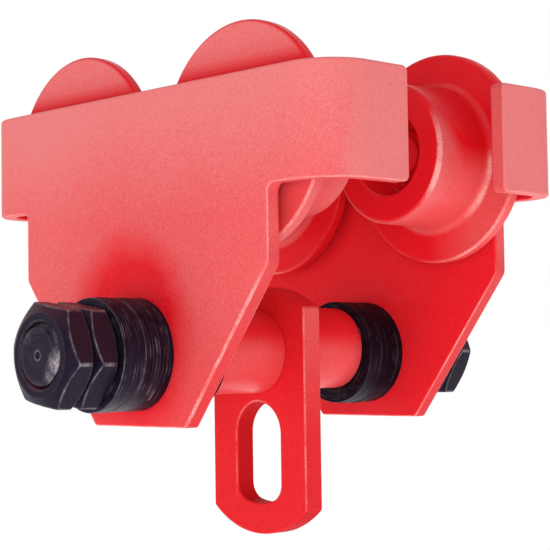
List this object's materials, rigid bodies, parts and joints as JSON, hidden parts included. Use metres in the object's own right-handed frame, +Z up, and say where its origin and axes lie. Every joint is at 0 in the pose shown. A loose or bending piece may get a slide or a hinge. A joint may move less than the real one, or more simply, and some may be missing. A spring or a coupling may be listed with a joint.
{
  "type": "push beam trolley",
  "caption": "Push-travel beam trolley: bent side plates on flanged wheels that run on a beam's lower flange, with a load bolt, adjusting washers and a swinging slotted hanger for a hoist hook.",
  "frame": {"origin": "on the running plane of the wheel treads, midway between the four wheels", "axes": "+X along the beam, +Y across it from the front side plate to the rear one, +Z up"},
  "size_m": [0.262, 0.2838, 0.2449],
  "materials": {
    "red_paint": "gloss red paint",
    "black_steel": "black oxide",
    "bearing_steel": "ground steel",
    "pressed_steel": "pressed sheet steel",
    "spring_steel": "phosphated spring steel"
  },
  "bodies": {
    "frame": {"side_plate_front": "red_paint", "side_plate_rear": "red_paint", "spacer_tube_front": "red_paint", "spacer_tube_rear": "red_paint", "load_bolt": "black_steel", "inner_washers_front": "black_steel", "outer_washers_front": "black_steel", "adjusting_nut_front": "black_steel", "lock_nut_front": "black_steel", "inner_washers_rear": "black_steel", "outer_washers_rear": "black_steel", "adjusting_nut_rear": "black_steel", "lock_nut_rear": "black_steel", "stub_axle_front_left": "red_paint", "bearing_inner_rings_front_left": "bearing_steel", "axle_circlip_front_left": "spring_steel", "stub_axle_front_right": "red_paint", "bearing_inner_rings_front_right": "bearing_steel", "axle_circlip_front_right": "spring_steel", "stub_axle_rear_left": "red_paint", "bearing_inner_rings_rear_left": "bearing_steel", "axle_circlip_rear_left": "spring_steel", "stub_axle_rear_right": "red_paint", "bearing_inner_rings_rear_right": "bearing_steel", "axle_circlip_rear_right": "spring_steel"},
    "hanger": {"hanger_plate": "red_paint"},
    "wheel_front_left": {"track_wheel_front_left": "red_paint", "bearing_outer_rings_front_left": "bearing_steel", "bearing_shields_front_left": "pressed_steel", "wheel_circlip_front_left": "spring_steel"},
    "ball_set_front_left": {"bearing_balls_front_left": "bearing_steel", "bearing_cages_front_left": "pressed_steel"},
    "wheel_front_right": {"track_wheel_front_right": "red_paint", "bearing_outer_rings_front_right": "bearing_steel", "bearing_shields_front_right": "pressed_steel", "wheel_circlip_front_right": "spring_steel"},
    "ball_set_front_right": {"bearing_balls_front_right": "bearing_steel", "bearing_cages_front_right": "pressed_steel"},
    "wheel_rear_left": {"track_wheel_rear_left": "red_paint", "bearing_outer_rings_rear_left": "bearing_steel", "bearing_shields_rear_left": "pressed_steel", "wheel_circlip_rear_left": "spring_steel"},
    "ball_set_rear_left": {"bearing_balls_rear_left": "bearing_steel", "bearing_cages_rear_left": "pressed_steel"},
    "wheel_rear_right": {"track_wheel_rear_right": "red_paint", "bearing_outer_rings_rear_right": "bearing_steel", "bearing_shields_rear_right": "pressed_steel", "wheel_circlip_rear_right": "spring_steel"},
    "ball_set_rear_right": {"bearing_balls_rear_right": "bearing_steel", "bearing_cages_rear_right": "pressed_steel"}
  },
  "joints": [
    {"name": "hanger_swing", "type": "hinge", "parent": "frame", "child": "hanger", "pos_m": [0, 0, -0.0632], "axis": [0, 1, 0], "range_deg": [-90, 90]},
    {"name": "wheel_roll_front_left", "type": "hinge", "parent": "frame", "child": "wheel_front_left", "pos_m": [-0.0605, -0.05005, 0.036], "axis": [0, 1, 0], "continuous": true},
    {"name": "ball_roll_front_left", "type": "hinge", "parent": "frame", "child": "ball_set_front_left", "pos_m": [-0.0605, -0.05005, 0.036], "axis": [0, 1, 0], "continuous": true},
    {"name": "wheel_roll_front_right", "type": "hinge", "parent": "frame", "child": "wheel_front_right", "pos_m": [0.0605, -0.05005, 0.036], "axis": [0, 1, 0], "continuous": true},
    {"name": "ball_roll_front_right", "type": "hinge", "parent": "frame", "child": "ball_set_front_right", "pos_m": [0.0605, -0.05005, 0.036], "axis": [0, 1, 0], "continuous": true},
    {"name": "wheel_roll_rear_left", "type": "hinge", "parent": "frame", "child": "wheel_rear_left", "pos_m": [-0.0605, 0.05005, 0.036], "axis": [0, 1, 0], "continuous": true},
    {"name": "ball_roll_rear_left", "type": "hinge", "parent": "frame", "child": "ball_set_rear_left", "pos_m": [-0.0605, 0.05005, 0.036], "axis": [0, 1, 0], "continuous": true},
    {"name": "wheel_roll_rear_right", "type": "hinge", "parent": "frame", "child": "wheel_rear_right", "pos_m": [0.0605, 0.05005, 0.036], "axis": [0, 1, 0], "continuous": true},
    {"name": "ball_roll_rear_right", "type": "hinge", "parent": "frame", "child": "ball_set_rear_right", "pos_m": [0.0605, 0.05005, 0.036], "axis": [0, 1, 0], "continuous": true}
  ],
  "couplings": [
    {"joint": "ball_roll_front_left", "follows": "wheel_roll_front_left", "ratio": 0.60242},
    {"joint": "ball_roll_front_right", "follows": "wheel_roll_front_right", "ratio": 0.60242},
    {"joint": "ball_roll_rear_left", "follows": "wheel_roll_rear_left", "ratio": 0.60242},
    {"joint": "ball_roll_rear_right", "follows": "wheel_roll_rear_right", "ratio": 0.60242}
  ]
}
